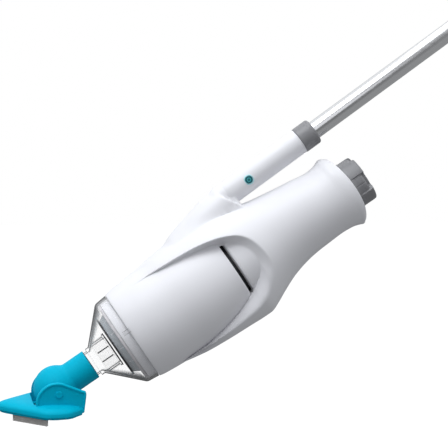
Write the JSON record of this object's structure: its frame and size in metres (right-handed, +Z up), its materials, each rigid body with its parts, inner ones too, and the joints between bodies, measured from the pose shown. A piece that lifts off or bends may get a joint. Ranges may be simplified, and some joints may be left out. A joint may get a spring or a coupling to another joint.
{
  "type": "cordless pool vacuum",
  "caption": "Hand-held cordless pool and spa vacuum on a pole, with a debris chamber held by two arms, a clear nose cone, a hinged brush head, a rear dial and a snap-button pole socket.",
  "frame": {"origin": "centre of the pole section's upper end face, where the next pole section or a grip holds it", "axes": "+Z up, +X from the brush head towards the upper end of the pole, +Y to the right-hand side as the user looks towards the nose; machine axis 34 degrees above the horizontal"},
  "size_m": [0.726, 0.1552, 0.6195],
  "materials": {
    "white_plastic": "gloss moulded",
    "pearl_plastic": "gloss moulded, slightly translucent",
    "teal_plastic": "satin gloss moulded",
    "clear_plastic": "clear, polished",
    "grey_plastic": "satin moulded",
    "dark_plastic": "matt moulded",
    "pole_aluminium": "drawn and anodised",
    "steel": "stainless",
    "rubber": "soft grey seal",
    "bristle": "nylon filament",
    "filter_mesh": "fine woven nylon",
    "cell_wrap": "shrink sleeve",
    "board": "solder mask"
  },
  "bodies": {
    "housing": {"housing_left": "white_plastic", "housing_right": "white_plastic", "debris_chamber": "pearl_plastic", "impeller_guard": "dark_plastic", "discharge_screen": "dark_plastic", "pump_housing": "dark_plastic", "shaft_seal": "rubber", "motor": "steel", "sealing_bulkhead": "dark_plastic", "battery_sleeve": "grey_plastic", "battery_cell_1": "cell_wrap", "battery_cell_2": "cell_wrap", "battery_cell_3": "cell_wrap", "battery_cell_4": "cell_wrap", "battery_cell_5": "cell_wrap", "battery_cell_6": "cell_wrap", "control_board": "board", "rotary_switch": "dark_plastic", "rear_cover": "white_plastic", "cover_screw_1": "steel", "cover_screw_2": "steel", "cover_screw_3": "steel", "cover_screw_4": "steel", "dial_seal": "rubber", "pole_socket": "white_plastic", "socket_collar": "grey_plastic", "pole_section": "pole_aluminium", "pole_end_insert": "grey_plastic", "lock_spring": "steel"},
    "nose": {"nose_cone": "clear_plastic", "inlet_duct": "clear_plastic", "nose_gasket": "rubber", "nose_tab_left": "clear_plastic", "nose_tab_right": "clear_plastic", "filter_frame": "dark_plastic", "filter_basket": "filter_mesh", "filter_end_cap": "dark_plastic"},
    "flap": {"inlet_flap": "clear_plastic", "flap_pin": "steel"},
    "neck": {"swivel_neck": "teal_plastic", "neck_seal": "rubber"},
    "head": {"head_shell": "teal_plastic", "sole_plate": "teal_plastic", "bristle_holder_left": "dark_plastic", "bristle_holder_right": "dark_plastic", "bristles_left": "bristle", "bristles_right": "bristle", "hinge_pin_left": "steel", "hinge_pin_right": "steel", "sole_screw_1": "steel", "sole_screw_2": "steel", "sole_screw_3": "steel", "sole_screw_4": "steel"},
    "impeller": {"impeller": "dark_plastic", "motor_shaft": "steel"},
    "dial": {"dial_knob": "grey_plastic", "dial_spindle": "steel"},
    "button_left": {"pole_button_left": "teal_plastic"},
    "button_right": {"pole_button_right": "teal_plastic"}
  },
  "joints": [
    {"name": "nose_release", "type": "slide", "parent": "housing", "child": "nose", "axis": [-0.829, 0, -0.5592], "range_m": [0, 0.175]},
    {"name": "neck_swivel", "type": "hinge", "parent": "nose", "child": "neck", "pos_m": [-0.57608, 0, -0.52244], "axis": [0.829, 0, 0.5592], "range_deg": [-98, 82]},
    {"name": "head_tilt", "type": "hinge", "parent": "neck", "child": "head", "pos_m": [-0.62997, 0, -0.55879], "axis": [-0.0778, 0.9903, 0.1154], "range_deg": [-20, 25]},
    {"name": "flap_swing", "type": "hinge", "parent": "nose", "child": "flap", "pos_m": [-0.55047, 0, -0.47815], "axis": [0, -1, 0], "range_deg": [0, 65]},
    {"name": "impeller_spin", "type": "hinge", "parent": "housing", "child": "impeller", "pos_m": [-0.37711, 0, -0.38824], "axis": [0.829, 0, 0.5592], "continuous": true},
    {"name": "dial_turn", "type": "hinge", "parent": "housing", "child": "dial", "pos_m": [-0.17815, 0, -0.25403], "axis": [0.829, 0, 0.5592], "range_deg": [0, 90]},
    {"name": "button_left_press", "type": "slide", "parent": "housing", "child": "button_left", "axis": [0, 1, 0], "range_m": [0, 0.004], "stiffness_N_per_m": 600, "springref_m": -0.002},
    {"name": "button_right_press", "type": "slide", "parent": "housing", "child": "button_right", "axis": [0, -1, 0], "range_m": [0, 0.004], "stiffness_N_per_m": 600, "springref_m": -0.002}
  ]
}
